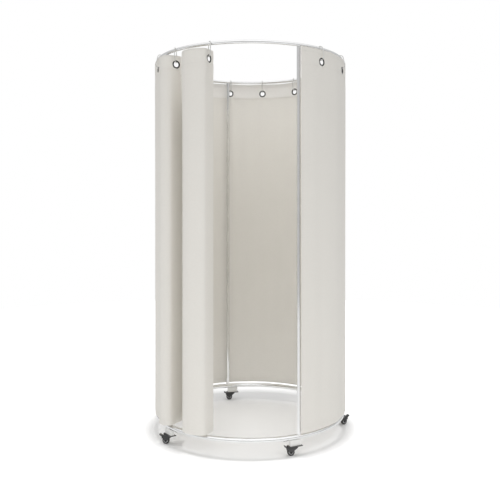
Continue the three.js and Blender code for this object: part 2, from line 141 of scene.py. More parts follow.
def pick(piece: Piece) -> None:
    """Selects one piece alone, and makes it the active one."""
    deselect()
    piece.select_set(True)
    bpy.context.view_layer.objects.active = piece


def apply_all(piece: Piece) -> None:
    """Applies every modifier of a piece, in order."""
    pick(piece)
    for modifier in list(piece.modifiers):
        bpy.ops.object.modifier_apply(modifier=modifier.name)


def smooth(piece: Piece, angle: float = 40) -> None:
    """Shades a piece smooth up to an angle between its faces.

    Args:
        piece: The piece.
        angle: Sharpest angle that is still smooth, in degrees.
    """
    pick(piece)
    bpy.ops.object.shade_smooth_by_angle(angle=math.radians(angle))


def twin(piece: Piece, name: str, matrix: Matrix) -> Piece:
    """Copies a piece with its own mesh.

    Args:
        piece: The piece that is copied.
        name: Name of the copy.
        matrix: Move from the piece to the copy.

    Returns:
        The copy.
    """
    copy = piece.copy()
    copy.data = piece.data.copy()
    copy.name = name
    copy.data.name = name
    bpy.context.collection.objects.link(copy)
    copy.data.transform(matrix)
    return copy


def turned(name: str, profile: list[Pair], sides: int) -> Piece:
    """Turns a closed profile about Z, by extruding a ring of edges and bridging it to its start.

    Args:
        name: Name of the piece.
        profile: Points as radius and height. The last one joins the first.
        sides: Number of sides round the axis.

    Returns:
        The turned piece, about the Z axis of the world.
    """
    deselect()
    radius, height = profile[0]
    bpy.ops.mesh.primitive_circle_add(vertices=sides, radius=radius, location=(0, 0, height))
    piece = current(name)
    settle(piece)
    bpy.ops.object.mode_set(mode="EDIT")
    bpy.ops.mesh.select_all(action="SELECT")
    for next_radius, next_height in profile[1:]:
        bpy.ops.mesh.extrude_edges_move(TRANSFORM_OT_translate={"value": (0, 0, next_height - height)})
        scale = next_radius / radius
        bpy.ops.transform.resize(value=(scale, scale, 1), center_override=(0, 0, next_height))
        radius, height = next_radius, next_height
    bpy.ops.mesh.select_all(action="DESELECT")
    bpy.ops.mesh.select_non_manifold()
    bpy.ops.mesh.bridge_edge_loops()
    bpy.ops.mesh.select_all(action="SELECT")
    bpy.ops.mesh.normals_make_consistent(inside=False)
    bpy.ops.object.mode_set(mode="OBJECT")
    return piece


def flipped(side: list[Pair]) -> list[Pair]:
    """Other half of a profile, back to front."""
    return [(radius, -height) for radius, height in reversed(side)]


def facing(centre: Vector, axis: Vector) -> Matrix:
    """Matrix from a piece about Z to its place about a level axis."""
    up = Vector((0, 0, 1))
    return Matrix.Translation(centre) @ Matrix((up.cross(axis), up, axis)).transposed().to_4x4()


def around(radius: float, degrees: float, height: float = 0) -> Vector:
    """Point at a radius from the ring axis, and at an angle from the doorway side towards +X."""
    turn = math.radians(degrees)
    return Vector((radius * math.sin(turn), -radius * math.cos(turn), height))


# Finishes


class Board:
    """Lays nodes into a node tree."""

    def __init__(self, tree: bpy.types.NodeTree) -> None:
        """Keeps the tree."""
        self.tree = tree
        self.column = 0

    def put(self, kind: str, **settings: object) -> Node:
        """Adds a node.

        Args:
            kind: Blender's name of the node.
            settings: Attributes of the node.

        Returns:
            The node.
        """
        node = self.tree.nodes.new(kind)
        node.location = (self.column, 0)
        self.column += 180
        for key, value in settings.items():
            setattr(node, key, value)
        return node

    def join(self, output: Socket, socket: Socket) -> None:
        """Links an output to an input."""
        self.tree.links.new(output, socket)

    def sum(self, kind: str, first: object, second: object = 0.0, third: object = 0.0) -> Socket:
        """Adds a Math node.

        Args:
            kind: Operation of the node.
            first: A number or an output.
            second: A number or an output.
            third: A number or an output.

        Returns:
            The node's output.
        """
        node = self.put("ShaderNodeMath", operation=kind)
        for socket, value in zip(node.inputs, (first, second, third)):
            if isinstance(value, Socket):
                self.join(value, socket)
            else:
                socket.default_value = value
        return node.outputs[0]

    def noise(self, vector: Socket, scale: float, detail: float = 4) -> Socket:
        """Adds a Noise node and returns its value.

        Args:
            vector: Coordinates.
            scale: Scale of the noise.
            detail: Number of finer layers.

        Returns:
            The noise value.
        """
        node = self.put("ShaderNodeTexNoise")
        node.inputs["Scale"].default_value = scale
        node.inputs["Detail"].default_value = detail
        self.join(vector, node.inputs["Vector"])
        return node.outputs[0]

    def split(self, vector: Socket) -> tuple[Socket, ...]:
        """Splits a vector into its three values.

        Args:
            vector: The vector.

        Returns:
            The outputs for X, Y and Z.
        """
        node = self.put("ShaderNodeSeparateXYZ")
        self.join(vector, node.inputs[0])
        return tuple(node.outputs)

    def blend(self, mask: Socket, low: Tone, high: Tone) -> Socket:
        """Mixes two colours by a mask.

        Args:
            mask: Share of the second colour.
            low: First colour.
            high: Second colour.

        Returns:
            The mixed colour.
        """
        node = self.put("ShaderNodeMix", data_type="RGBA")
        self.join(mask, node.inputs[0])
        node.inputs[6].default_value = (*low, 1)
        node.inputs[7].default_value = (*high, 1)
        return node.outputs[2]

    def stretch(self, value: Socket, source: Pair, target: Pair) -> Socket:
        """Maps a range of values to another one.

        Args:
            value: The value.
            source: Its lowest and highest value.
            target: What these become.

        Returns:
            The mapped value.
        """
        node = self.put("ShaderNodeMapRange")
        self.join(value, node.inputs["Value"])
        for key, end in zip(("From Min", "From Max", "To Min", "To Max"), (*source, *target)):
            node.inputs[key].default_value = end
        return node.outputs["Result"]


def effect_group(
    name: str,
    inputs: dict[str, tuple[str, float | None]],
    outputs: Iterable[str],
    build: Callable[[Board, Node, Node], None],
) -> bpy.types.NodeTree:
    """Builds a node group once, and returns it again when asked for it later.

    Args:
        name: Name of the group.
        inputs: Socket kind and value of each input.
        outputs: Names of the value outputs.
        build: Function that lays the nodes between the group's input and output nodes.

    Returns:
        The node group.
    """
    if name in bpy.data.node_groups:
        return bpy.data.node_groups[name]
    tree = bpy.data.node_groups.new(name, "ShaderNodeTree")
    for key, (kind, value) in inputs.items():
        socket = tree.interface.new_socket(key, in_out="INPUT", socket_type=kind)
        if value is not None:
            socket.default_value = value
    for key in outputs:
        tree.interface.new_socket(key, in_out="OUTPUT", socket_type="NodeSocketFloat")
    board = Board(tree)
    entry = board.put("NodeGroupInput")
    leave = board.put("NodeGroupOutput")
    build(board, entry, leave)
    return tree


def weave_group() -> bpy.types.NodeTree:
    """Plain weave on a cloth's own map, with uneven threads."""

    def build(board: Board, entry: Node, leave: Node) -> None:
        """Lays warp and weft, and the slubs in them."""
        along, up, _ = board.split(entry.outputs["Map"])
        pitch = entry.outputs["Thread"]
        warp = board.sum("SINE", board.sum("DIVIDE", along, pitch))
        weft = board.sum("SINE", board.sum("DIVIDE", up, pitch))
        over = board.sum("MAXIMUM", board.sum("ABSOLUTE", warp), board.sum("ABSOLUTE", weft))
        slub = board.noise(entry.outputs["Map"], SLUB_SCALE, 3)
        cloud = board.noise(entry.outputs["Map"], CLOUD_SCALE, 4)
        board.join(board.sum("MULTIPLY_ADD", slub, SLUB_HEIGHT, over), leave.inputs["Height"])
        half_cloud = board.sum("MULTIPLY", cloud, 0.5)
        board.join(board.sum("MULTIPLY_ADD", slub, 0.5, half_cloud), leave.inputs["Shade"])

    inputs = {"Map": ("NodeSocketVector", None), "Thread": ("NodeSocketFloat", 0.0004)}
    return effect_group("plain_weave", inputs, ("Height", "Shade"), build)


def stitch_group() -> bpy.types.NodeTree:
    """Row of stitches along a line of a cloth's own map."""

    def build(board: Board, entry: Node, leave: Node) -> None:
        """Lays the line and cuts it into stitches."""
        along, up, _ = board.split(entry.outputs["Map"])
        away = board.sum("ABSOLUTE", board.sum("SUBTRACT", up, entry.outputs["Line"]))
        line = board.sum("LESS_THAN", away, STITCH_HALF_WIDTH)
        step = board.sum("FRACT", board.sum("DIVIDE", along, entry.outputs["Pitch"]))
        stitch = board.sum("LESS_THAN", step, STITCH_SHARE)
        board.join(board.sum("MULTIPLY", line, stitch), leave.inputs["Thread"])
        board.join(board.sum("LESS_THAN", away, GROOVE_HALF_WIDTH), leave.inputs["Groove"])

    inputs = {
        "Map": ("NodeSocketVector", None),
        "Line": ("NodeSocketFloat", 0.0),
        "Pitch": ("NodeSocketFloat", 0.0035),
    }
    return effect_group("stitch_row", inputs, ("Thread", "Groove"), build)


def wear_group() -> bpy.types.NodeTree:
    """Fine scratches and smudges, with more dust near the floor."""

    def build(board: Board, entry: Node, leave: Node) -> None:
        """Lays scratches, smudges and dust."""
        place = entry.outputs["Place"]
        mapping = board.put("ShaderNodeMapping")
        mapping.inputs["Scale"].default_value = SCRATCH_STRETCH
        board.join(place, mapping.inputs["Vector"])
        grain = board.noise(mapping.outputs[0], SCRATCH_SCALE, 2)
        smudge = board.noise(place, SMUDGE_SCALE, 5)
        height = board.split(place)[2]
        low = board.stretch(height, (0.0, DUST_HEIGHT), (1, 0))
        dust = board.sum("MULTIPLY", low, board.noise(place, DUST_SCALE, 4))
        board.join(grain, leave.inputs["Scratch"])
        board.join(smudge, leave.inputs["Smudge"])
        board.join(dust, leave.inputs["Dust"])

    inputs = {"Place": ("NodeSocketVector", None)}
    return effect_group("handling_wear", inputs, ("Scratch", "Smudge", "Dust"), build)


@dataclass(frozen=True)
class Finish:
    """A finish with two tones. Its name is none of the frame's own materials."""

    name: str
    slot: str
    colour: Tone
    second: Tone

    def material(self) -> bpy.types.Material:
        """Builds the material once.

        Returns:
            The material.
        """
        if self.name in bpy.data.materials:
            return bpy.data.materials[self.name]
        material = bpy.data.materials.new(self.name)
        material.use_nodes = True
        self.lay(Board(material.node_tree), material.node_tree.nodes["Principled BSDF"])
        return material

    def lay(self, board: Board, shader: Node) -> None:
        """Lays the nodes before the shader."""
        raise NotImplementedError


@dataclass(frozen=True)
class HardFinish(Finish):
    """Metal, plastic or rubber with fine scratches, smudges and dust."""

    roughness: Pair
    metallic: float = 0.0
    coat: float = 0.0
    relief: float = 0.00002

    def lay(self, board: Board, shader: Node) -> None:
        """Lays tone, roughness and relief from the wear."""
        place = board.put("ShaderNodeTexCoord").outputs["Object"]
        wear = board.put("ShaderNodeGroup", node_tree=wear_group())
        board.join(place, wear.inputs["Place"])
        spots = board.stretch(wear.outputs["Smudge"], (0.35, 0.75), (0, 0.5))
        mask = board.sum("MULTIPLY_ADD", wear.outputs["Dust"], 0.5, spots)
        board.join(board.blend(mask, self.colour, self.second), shader.inputs["Base Color"])
        rough = board.stretch(wear.outputs["Smudge"], (0.3, 0.8), self.roughness)
        board.join(board.sum("MULTIPLY_ADD", wear.outputs["Dust"], 0.15, rough), shader.inputs["Roughness"])
        bump = board.put("ShaderNodeBump")
        bump.inputs["Distance"].default_value = self.relief
        board.join(wear.outputs["Scratch"], bump.inputs["Height"])
        board.join(bump.outputs[0], shader.inputs["Normal"])
        shader.inputs["Metallic"].default_value = self.metallic
        shader.inputs["Coat Weight"].default_value = self.coat


@dataclass(frozen=True)
class ClothFinish(Finish):
    """Woven cloth with rows of stitches."""

    thread: float = 0.00035
    relief: float = 0.00016
    seams: tuple[float, ...] = ()

    def lay(self, board: Board, shader: Node) -> None:
        """Lays tone and relief from the weave and the seams. The darker tone in the seams' grooves is
        painted shade.
        """
        plan = board.put("ShaderNodeUVMap", uv_map="UVMap").outputs[0]
        weave = board.put("ShaderNodeGroup", node_tree=weave_group())
        weave.inputs["Thread"].default_value = self.thread / (2 * math.pi)
        board.join(plan, weave.inputs["Map"])
        mask = board.stretch(weave.outputs["Shade"], (0.3, 0.7), (0, 1))
        height = weave.outputs["Height"]
        for line in self.seams:
            row = board.put("ShaderNodeGroup", node_tree=stitch_group())
            row.inputs["Line"].default_value = line
            board.join(plan, row.inputs["Map"])
            # Painted shade: the cloth in each seam's groove takes the darker second tone.
            mask = board.sum("MAXIMUM", mask, row.outputs["Groove"])
            height = board.sum("SUBTRACT", height, board.sum("MULTIPLY", row.outputs["Groove"], 2.5))
            height = board.sum("MULTIPLY_ADD", row.outputs["Thread"], 3.5, height)
        board.join(board.blend(mask, self.colour, self.second), shader.inputs["Base Color"])
        bump = board.put("ShaderNodeBump")
        bump.inputs["Distance"].default_value = self.relief
        bump.inputs["Strength"].default_value = 0.6
        board.join(height, bump.inputs["Height"])
        board.join(bump.outputs[0], shader.inputs["Normal"])
        shader.inputs["Roughness"].default_value = 0.92
        shader.inputs["Specular IOR Level"].default_value = 0.2
        shader.inputs["Sheen Weight"].default_value = 0.15
        shader.inputs["Sheen Roughness"].default_value = 0.5


CHROME = HardFinish(
    "polished_tube", "tube_chrome", (0.88, 0.885, 0.89), (0.76, 0.76, 0.75), (0.1, 0.2), metallic=1.0,
)
SADDLE = HardFinish(
    "pale_plastic", "saddle_plastic", (0.94, 0.94, 0.92), (0.84, 0.83, 0.8), (0.35, 0.5), coat=0.2,
)
BLACK = HardFinish(
    "black_steel", "caster_black", (0.012, 0.012, 0.013), (0.07, 0.07, 0.07), (0.3, 0.5), coat=0.3,
)
RUBBER = HardFinish(
    "black_rubber", "tyre_rubber", (0.012, 0.012, 0.012), (0.06, 0.058, 0.055), (0.6, 0.85),
)
HUB = HardFinish("grey_plastic", "hub_plastic", (0.5, 0.51, 0.52), (0.3, 0.3, 0.29), (0.4, 0.6))
NICKEL = HardFinish(
    "dark_nickel", "eyelet_metal", (0.07, 0.07, 0.07), (0.04, 0.04, 0.04), (0.25, 0.4), metallic=1.0,
)
WIRE = HardFinish("satin_plastic", "loop_plastic", (0.72, 0.72, 0.7), (0.6, 0.6, 0.58), (0.35, 0.5))
CLOTH = ClothFinish(
    "woven_cloth", "curtain_cloth", (0.872, 0.848, 0.797), (0.842, 0.818, 0.767),
    seams=(0.126, 1.834, 1.897),
)
HEADER = ClothFinish(
    "header_tape", "curtain_cloth", (0.96, 0.94, 0.905), (0.92, 0.9, 0.865), 0.0006, seams=(1.835, 1.897),
)
CASTER_FINISHES = (
    ("caster_plate", BLACK), ("caster_fork", BLACK), ("brake_pedal", BLACK), ("caster_axle", NICKEL),
    ("caster_saddle", SADDLE),
)


def dress(piece: Piece, finish: Finish) -> None:
    """Gives a piece its material.

    Args:
        piece: The piece.
        finish: Its finish.
    """
    piece.data.materials.clear()
    piece.data.materials.append(finish.material())


def redress(node: Piece, finish: Finish) -> None:
    """Puts a finish on every slot of a node of the frame."""
    for slot in node.material_slots:
        slot.material = finish.material()


# Curtain


def eased(share: float) -> float:
    """Smooth step between 0 and 1, level at both ends and beyond them."""
    part = min(1.0, max(0.0, share))
    return part**2 * (3 - 2 * part)


@dataclass
class Plan:
    """Line that a hanging cloth follows in plan, with equal steps."""

    points: list[Vector]

    @classmethod
    def along(cls, knots: tuple[Pair, ...], end: Pair, step: float) -> "Plan":
        """Smooth line through knots, then straight to its end.

        Args:
            knots: Points of the smooth stretch.
            end: End of the straight stretch.
            step: Length of one step.

        Returns:
            The plan.
        """
        parts = 24
        line = [Vector((*knot, 0)) for knot in knots]
        first = 2 * line[0] - line[1]
        last = Vector((*end, 0))
        held = [first, *line, last]
        dense: list[Vector] = []
        for at in range(1, len(held) - 2):
            before, start, stop, after = held[at - 1 : at + 3]
            dense += [cls.spline(before, start, stop, after, index / parts) for index in range(parts)]
        return cls(cls.even([*dense, line[-1], last], step))

    @staticmethod
    def spline(before: Vector, start: Vector, stop: Vector, after: Vector, share: float) -> Vector:
        """Point of a centripetal curve between two knots.

        Args:
            before: Knot before the stretch.
            start: Its first knot.
            stop: Its last knot.
            after: Knot after the stretch.
            share: Share of the way.

        Returns:
            The point.
        """
        times = [0.0]
        for near, far in ((before, start), (start, stop), (stop, after)):
            times.append(times[-1] + math.sqrt((far - near).length))
        time = times[1] + share * (times[2] - times[1])

        def between(low: Vector, high: Vector, first: int, last: int) -> Vector:
            """Point on the straight line between two points at two times."""
            part = (time - times[first]) / (times[last] - times[first])
            return low.lerp(high, part)

        low = between(between(before, start, 0, 1), between(start, stop, 1, 2), 0, 2)
        high = between(between(start, stop, 1, 2), between(stop, after, 2, 3), 1, 3)
        return between(low, high, 1, 2)

    @staticmethod
    def even(line: list[Vector], step: float) -> list[Vector]:
        """Points at equal distances along a line.

        Args:
            line: Points of the line.
            step: Wanted distance.

        Returns:
            The points.
        """
        lengths = [0.0]
        for near, far in zip(line, line[1:]):
            lengths.append(lengths[-1] + (far - near).length)
        count = max(2, round(lengths[-1] / step))
        points = []
        at = 0
        for index in range(count + 1):
            goal = lengths[-1] * index / count
            while at < len(line) - 2 and lengths[at + 1] < goal:
                at += 1
            part = (goal - lengths[at]) / (lengths[at + 1] - lengths[at])
            points.append(line[at].lerp(line[at + 1], part))
        return points

    @property
    def length(self) -> float:
        """Length of the line."""
        return sum((far - near).length for near, far in zip(self.points, self.points[1:]))

    def side(self, index: int) -> Vector:
        """Direction out of the line at a point, to its right."""
        near = self.points[max(index - 1, 0)]
        far = self.points[min(index + 1, len(self.points) - 1)]
        heading = (far - near).normalized()
        return Vector((heading.y, -heading.x, 0))


@dataclass
class Drape:
    """How a cloth gives way: between its loops, in its valley, and in small ripples.

    The valley's span is from where it is level to where it is deepest, as shares of the cloth's length. It
    starts under the eyelets at valley_top and has its full depth a valley_depth further down.
    """

    held: list[float]
    sag: float = 0.0015
    belly: float = 0.003
    ripple: float = 0.0012
    pinch: float = 0.0009
    valley: Vector = field(default_factory=Vector)
    valley_span: Pair = (0.0, 1.0)
    valley_top: float = 0.03
    valley_depth: float = 0.35
    end_reach: float = 0.12
    end_share: float = 0.6
    crease_reach: float = 0.2
    crease_rays: float = 5.5
    crease_middle: float = 0.05
    crease_width: float = 0.004
    sag_power: int = 14

    def spread(self, length: float) -> float:
        """Share between the nearest two loops, 0 at a loop and 1 half way.

        Args:
            length: Place along the cloth.

        Returns:
            The share.
        """
        before = max((place for place in self.held if place <= length), default=None)
        after = min((place for place in self.held if place > length), default=None)
        if before is None or after is None:
            near = after if before is None else before
            return min(1.0, abs(length - near) / self.end_reach) ** 2 * self.end_share
        share = (length - before) / (after - before)
        return 0.5 - 0.5 * math.cos(2 * math.pi * share)

    def creases(self, length: float, down: float) -> float:
        """Small creases that run out from each loop.

        Args:
            length: Place along the cloth.
            down: Distance under the eyelets.

        Returns:
            Their height.
        """
        total = 0.0
        for place in self.held:
            away = length - place
            reach = math.hypot(away, down)
            if reach < self.crease_reach:
                rays = self.crease_rays * math.atan2(away, down)
                fade = math.exp(-((reach - self.crease_middle) ** 2) / self.crease_width)
                total += math.cos(rays + place * 7) * fade
        return total * self.pinch

    def shift(self, length: float, share: float, down: float) -> Pair:
        """Moves of a point of the cloth.

        Args:
            length: Place along the cloth.
            share: Share of the height, 1 at the top.
            down: Distance under the eyelets.

        Returns:
            The move outwards and the move up.
        """
        spread = self.spread(length)
        fall = share**self.sag_power
        wave = math.sin(length * LONG_RIPPLE + 0.8 * math.sin(share * 4))
        wave += 0.6 * math.sin(length * SHORT_RIPPLE + 2 + share)
        bulge = self.belly * spread * (0.35 + 0.65 * share**3)
        out = bulge + self.ripple * (wave + 1.6) * (1 - 0.5 * fall)
        return out + self.creases(length, down), -self.sag * spread * fall

    def hollow(self, part: float, down: float) -> Vector:
        """Move in plan of a point into the fold's valley, which deepens under the header."""
        level, deepest = self.valley_span
        along = eased((part - level) / (deepest - level))
        return self.valley * along * eased((down - self.valley_top) / self.valley_depth)

    def full_length(self, plan: Plan) -> float:
        """Length of the cloth's line below the header, where the valley is deepest.

        Args:
            plan: Line in plan at the header.

        Returns:
            The length.
        """
        columns = len(plan.points) - 1
        down = self.valley_top + self.valley_depth
        points = [point + self.hollow(index / columns, down) for index, point in enumerate(plan.points)]
        return Plan(points).length


class Pleat(Enum):
    """The two pleats of the pushed-back curtain, from the wall to the free edge."""

    MID = "mid"
    LEAD = "lead"

    @property
    def body(self) -> str:
        """Body that carries the pleat's eyelet."""
        return f"curtain_{self.value}"

    @property
    def before(self) -> str:
        """Body that the pleat's cloth comes from."""
        return "frame" if self is Pleat.MID else "curtain_mid"


@dataclass(frozen=True)
class PleatLine:
    """Line of a pleat in plan: through its knots, then straight past its eyelet to its edge.

    The eyelet sits half way from the last knot to the end of the flat stretch.
    """

    knots: tuple[Pair, ...]
    end: Pair
    edge: Pair
    valley: Pair

    def eyelet(self) -> Seat:
        """Finds the eyelet.

        Returns:
            Its centre in plan, and the direction through the cloth there.
        """
        start = Vector((*self.knots[-1], 0))
        stop = Vector((*self.end, 0))
        along = (stop - start).normalized()
        return (start + stop) / 2, Vector((along.y, -along.x, 0))


MID_LINE = PleatLine(
    knots=(
        (-0.4455, -0.2194), (-0.4485, -0.252), (-0.443, -0.286), (-0.4255, -0.311), (-0.4045, -0.3225),
        (-0.382, -0.3205),
    ),
    end=(-0.339, -0.2955),
    edge=(-0.339, -0.2955),
    valley=(0.7, 1.0),
)
LEAD_LINE = PleatLine(
    knots=(
        (-0.3377, -0.2946), (-0.3305, -0.296), (-0.3252, -0.305), (-0.3256, -0.327), (-0.3266, -0.352),
        (-0.323, -0.386), (-0.3125, -0.42), (-0.29, -0.4435), (-0.258, -0.4595), (-0.2265, -0.466),
        (-0.2075, -0.4585),
    ),
    end=(-0.1785, -0.408),
    edge=(-0.1745, -0.401),
    valley=(0.42, 0.0),
)


@dataclass
class Curtain:
    """The curtain with its header band, eyelets and loops."""

    radius: float = 0.49935
    hem: float = 0.101
    top: float = 1.915
    fold_top: float = 1.901
    thickness: float = 0.0012
    header_bottom: float = 1.832
    first: float = 28.5
    last: float = 296.0
    eyelet_height: float = 1.858
    eyelet_radius: float = 0.02
    hole_radius: float = 0.013
    ring_radius: float = RING_RADIUS
    ring_height: float = TOP_RING_HEIGHT
    ring_tube: float = TOP_TUBE_RADIUS
    wire: float = 0.002
    loop_half_width: float = 0.018
    hang_gap: float = 0.0008
    slide_gap: float = 0.0013
    fixed: tuple[float, ...] = (43.5, 69.5, 95.6, 121.6, 147.6, 171.2, 193.9, 217.5, 240.8, 264.0, 292.5)
    header_inset: float = 0.0013
    header_drop: float = 0.001
    eyelet_gap: float = 0.0025
    punch_slack: float = 0.001
    punch_depth: float = 0.012
    wall_step: float = 0.009
    pleat_step: float = 0.005
    row_step: float = 0.012
    valley: Vector = field(default_factory=lambda: Vector((0.01, 0.058, 0)))
    turn_over: Vector = field(default_factory=lambda: Vector((0.07, -0.035, 0)))

    def sheet(self, name: str, plan: Plan, drape: Drape, span: Pair, inset: float = 0.0) -> Piece:
        """Hangs a sheet along a plan: a grid is shaped row by row and given its thickness.

        Args:
            name: Name of the piece.
            plan: Line in plan.
            drape: How it gives way.
            span: Its lowest and highest edge.
            inset: Distance to the inside of the plan.

        Returns:
            The sheet.
        """
        columns = len(plan.points) - 1
        rows = max(3, round((span[1] - span[0]) / self.row_step))
        deselect()
        bpy.ops.mesh.primitive_grid_add(x_subdivisions=columns, y_subdivisions=rows, size=1)
        piece = current(name)
        step = plan.length / columns
        for vertex in piece.data.vertices:
            column = min(columns, max(0, round((vertex.co.x + 0.5) * columns)))
            height = span[0] + (vertex.co.y + 0.5) * (span[1] - span[0])
            share = (height - self.hem) / (self.top - self.hem)
            down = self.eyelet_height - height
            out, rise = drape.shift(column * step, share, down)
            place = plan.points[column] + plan.side(column) * (out - inset)
            vertex.co = place + drape.hollow(column / columns, down)
            vertex.co.z = height + rise
        self.map_cloth(piece, plan.length, span)
        wall = piece.modifiers.new("thickness", "SOLIDIFY")
        wall.thickness = self.thickness
        wall.offset = 0
        apply_all(piece)
        return piece

    def map_cloth(self, piece: Piece, length: float, span: Pair) -> None:
        """Stretches the piece's map to metres along the cloth and over the floor.

        Args:
            piece: The sheet.
            length: Its length.
            span: Its lowest and highest edge.
        """
        layer = piece.data.uv_layers["UVMap"]
        for corner in layer.data:
            corner.uv = (corner.uv[0] * length, span[0] + corner.uv[1] * (span[1] - span[0]))

    def punch(self, piece: Piece, places: list[Matrix]) -> None:
        """Cuts the eyelet holes through a sheet.

        Args:
            piece: The sheet.
            places: Place of each eyelet.
        """
        for place in places:
            deselect()
            bpy.ops.mesh.primitive_cylinder_add(
                vertices=28, radius=self.hole_radius + self.punch_slack, depth=self.punch_depth,
            )
            cutter = current("eyelet_punch")
            settle(cutter, place)
            cut = piece.modifiers.new("hole", "BOOLEAN")
            cut.operation = "DIFFERENCE"
            cut.solver = "EXACT"
            cut.object = cutter
            apply_all(piece)
            bpy.data.objects.remove(cutter)

    def eyelet(self) -> Piece:
        """Eyelet about Z: a barrel with a rounded flange on both faces of the cloth.

        Returns:
            The eyelet.
        """
        hole = self.hole_radius
        outer = self.eyelet_radius
        low = self.thickness / 2 + 0.0003
        profile = [
            (hole, 0.0), (hole, low + 0.0006), (hole + 0.0007, low + 0.0014), (hole + 0.0024, low + 0.0017),
            (outer - 0.002, low + 0.0012), (outer - 0.0005, low + 0.0007), (outer, low + 0.0002),
            (outer, low), (outer - 0.0008, low - 0.0002), (hole + 0.0012, low - 0.0002),
        ]
        piece = turned("eyelet", profile + flipped(profile[1:]), 40)
        smooth(piece, 50)
        return piece

    def loop(self) -> Piece:
        """Round wire loop in the XZ plane, not yet stretched to its length."""
        deselect()
        bpy.ops.mesh.primitive_torus_add(
            major_segments=34, minor_segments=12, major_radius=self.loop_half_width, minor_radius=self.wire,
            rotation=(math.pi / 2, 0, 0),
        )
        piece = current("loop")
        settle(piece, Matrix.Rotation(math.pi / 34, 4, "Y"))
        smooth(piece, 80)
        return piece

    def eyelet_place(self, centre: Vector, across: Vector) -> Matrix:
        """Matrix from an eyelet about Z to its centre in plan and its direction through the cloth."""
        return facing(Vector((centre.x, centre.y, self.eyelet_height)), across)

    def hang_loop(self, loop: Piece, name: str, centre: Vector, across: Vector, gap: float) -> Piece:
        """Copies the loop over the top ring and through an eyelet.

        Args:
            loop: The round loop.
            name: Name of the copy.
            centre: Centre of the eyelet in plan.
            across: Direction through the cloth at the eyelet.
            gap: Clearance over the ring tube.

        Returns:
            The loop in place.
        """
        spoke = Vector((centre.x, centre.y, 0)).normalized()
        facing = across if across.dot(spoke) > 0 else -across
        outward = (facing + spoke).normalized()
        lever = centre.dot(outward)
        reach = math.sqrt(lever**2 - centre.length_squared + self.ring_radius**2) - lever
        seat = self.eyelet_height + self.hole_radius - self.eyelet_gap - self.wire
        drop = self.ring_height - seat
        over = self.ring_tube + gap + self.wire
        length = math.hypot(drop, reach) + over
        copy = twin(loop, name, Matrix.Identity(4))
        stretch = length / 2 - self.loop_half_width
        for vertex in copy.data.vertices:
            vertex.co.z += math.copysign(stretch, vertex.co.z)
        lean = math.atan2(reach, drop)
        middle = length / 2 - over
        foot = centre + outward * (reach - middle * math.sin(lean))
        up = Vector((0, 0, 1))
        turn = Matrix((outward, up.cross(outward), up)).transposed().to_4x4()
        place = Matrix.Translation((foot.x, foot.y, self.ring_height - middle * math.cos(lean))) @ turn
        copy.data.transform(place @ Matrix.Rotation(lean, 4, "Y"))
        return copy

    def fasten(
        self, names: tuple[str, str], shapes: tuple[Piece, Piece], seat: Seat, gap: float, body: str,
    ) -> tuple[Piece, Piece]:
        """Copies an eyelet and a loop to their place.

        Args:
            names: Names of the eyelet and the loop.
            shapes: The eyelet and the loop that are copied.
            seat: Centre of the eyelet in plan, and direction through the cloth there.
            gap: Clearance over the ring tube.
            body: Body that carries both.

        Returns:
            The eyelet and the loop in place.
        """
        ring = twin(shapes[0], names[0], self.eyelet_place(*seat))
        wire = self.hang_loop(shapes[1], names[1], *seat, gap)
        for piece, finish in ((ring, NICKEL), (wire, WIRE)):
            dress(piece, finish)
            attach(piece, body)
        return ring, wire

    def cloth(
        self, name: str, plan: Plan, drape: Drape, top: float, seats: list[Seat],
    ) -> tuple[Piece, Piece]:
        """Hangs a sheet and the header band on its inside, both dressed and with their eyelet holes.

        Args:
            name: Name of the sheet.
            plan: Line in plan.
            drape: How it gives way.
            top: Height of its top edge.
            seats: Centre of each eyelet in plan, and direction through the cloth there.

        Returns:
            The sheet and the band.
        """
        sheet = self.sheet(name, plan, drape, (self.hem, top))
        span = (self.header_bottom, top - self.header_drop)
        band = self.sheet(f"{name}_header", plan, drape, span, self.header_inset)
        for piece, finish in ((sheet, CLOTH), (band, HEADER)):
            self.punch(piece, [self.eyelet_place(*seat) for seat in seats])
            smooth(piece, 50)
            dress(piece, finish)
        return sheet, band

    def build(self) -> None:
        """Builds the curtain and everything on it."""
        shapes = (self.eyelet(), self.loop())
        self.wall(shapes)
        for pleat in Pleat:
            self.pleat(pleat, shapes)
        for shape in shapes:
            bpy.data.objects.remove(shape)

    def wall(self, shapes: tuple[Piece, Piece]) -> None:
        """Builds the fixed cloth round the circle, with its eyelets and loops.

        Args:
            shapes: The eyelet and the loop that are copied.
        """
        count = round(math.radians(self.last - self.first) * self.radius / self.wall_step)
        angles = [self.first + (self.last - self.first) * index / count for index in range(count + 1)]
        plan = Plan([around(self.radius, angle) for angle in angles])
        held = [math.radians(angle - self.first) * self.radius for angle in self.fixed]
        drape = Drape(held)
        seats = [(around(self.radius, angle), around(1, angle).normalized()) for angle in self.fixed]
        wall, band = self.cloth("curtain_wall", plan, drape, self.top, seats)
        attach(wall, "frame")
        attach(band, "frame")
        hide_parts("curtain_right", "curtain_back", "curtain_left")
        for number, seat in enumerate(seats, start=1):
            names = (f"wall_eyelet_{number}", f"wall_loop_{number}")
            ring, wire = self.fasten(names, shapes, seat, self.hang_gap, "frame")
            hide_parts(f"curtain_loop_{number}")
        plan.length
        plan.length
        LOG.info("curtain wall: %.3f m of cloth", plan.length)

